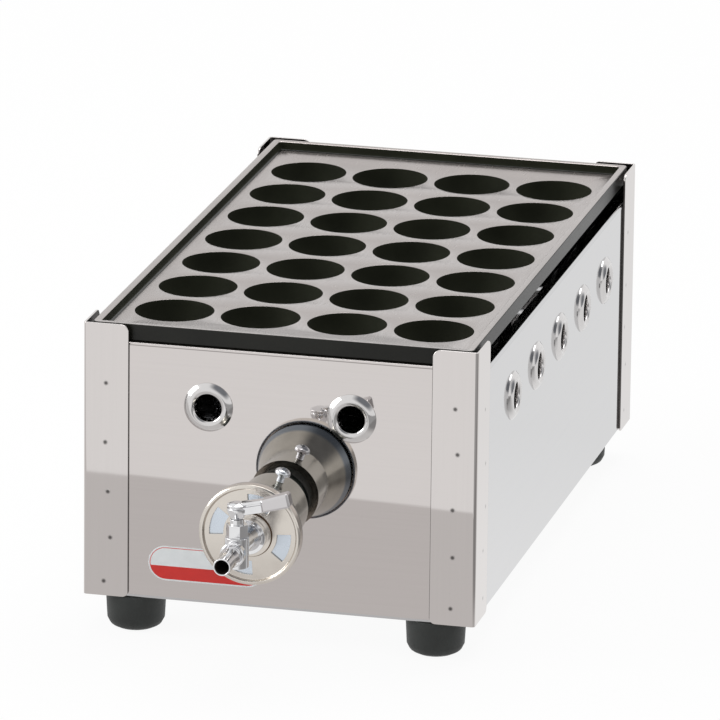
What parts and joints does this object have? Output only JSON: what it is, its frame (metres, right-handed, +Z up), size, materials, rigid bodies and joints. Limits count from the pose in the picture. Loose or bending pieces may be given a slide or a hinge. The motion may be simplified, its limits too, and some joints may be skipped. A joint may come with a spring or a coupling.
{
  "type": "takoyaki maker",
  "caption": "Countertop gas takoyaki maker: a lift-off cast-iron griddle of round cups on a stainless housing with rubber feet, fed through a bell mouth, air damper and gas cock.",
  "frame": {"origin": "on the counter, under the middle of the whole footprint from the hose end's tip to the back panel", "axes": "+X to the cook's right, +Y to the back along the cooker's length, +Z up"},
  "size_m": [0.1928, 0.455, 0.1518],
  "materials": {
    "front_steel": "brushed stainless, slightly warm",
    "panel_steel": "polished stainless",
    "post_steel": "polished stainless",
    "eyelet_steel": "polished",
    "griddle_iron": "seasoned iron with a ground top",
    "burner_iron": "black, heat-resistant paint",
    "bell_iron": "grey-brown casting, satin",
    "bracket_steel": "plain steel strip",
    "zinc_fasteners": "zinc plated",
    "zinc_disc": "zinc plated, bluish",
    "damper_nickel": "satin nickel",
    "cock_chrome": "bright plated brass",
    "jet_brass": "machined",
    "foot_rubber": "matt dark rubber"
  },
  "bodies": {
    "housing": {"post_front_right": "post_steel", "post_front_left": "post_steel", "post_back_right": "post_steel", "post_back_left": "post_steel", "front_panel": "front_steel", "back_panel": "panel_steel", "right_side_panel": "panel_steel", "left_side_panel": "panel_steel", "front_eyelets": "eyelet_steel", "right_vent_eyelets": "eyelet_steel", "left_vent_eyelets": "eyelet_steel", "base_plate": "panel_steel", "rubber_feet": "foot_rubber", "foot_screws": "zinc_fasteners", "foot_nuts": "zinc_fasteners", "burner": "burner_iron", "burner_brackets_front": "bracket_steel", "burner_brackets_rear": "bracket_steel", "burner_screws": "zinc_fasteners", "bracket_screws": "zinc_fasteners", "bell_mouth": "bell_iron", "set_screw": "zinc_fasteners", "fixed_air_disc": "zinc_disc", "cock_body": "cock_chrome", "gland_nut": "cock_chrome", "shank_nut": "zinc_fasteners", "gas_jet": "jet_brass", "hose_end": "cock_chrome"},
    "griddle": {"griddle_plate": "griddle_iron"},
    "damper": {"damper_dish": "damper_nickel"},
    "lever": {"valve_plug": "cock_chrome", "lever": "cock_chrome"}
  },
  "joints": [
    {"name": "griddle_lift", "type": "slide", "parent": "housing", "child": "griddle", "axis": [0, 0, 1], "range_m": [0, 0.06]},
    {"name": "damper_turn", "type": "hinge", "parent": "housing", "child": "damper", "pos_m": [0, -0.1755, 0.072], "axis": [0, -1, 0], "range_deg": [0, 45]},
    {"name": "lever_turn", "type": "hinge", "parent": "housing", "child": "lever", "pos_m": [0, -0.1999, 0.072], "axis": [0, 0, -1], "range_deg": [0, 90]}
  ]
}
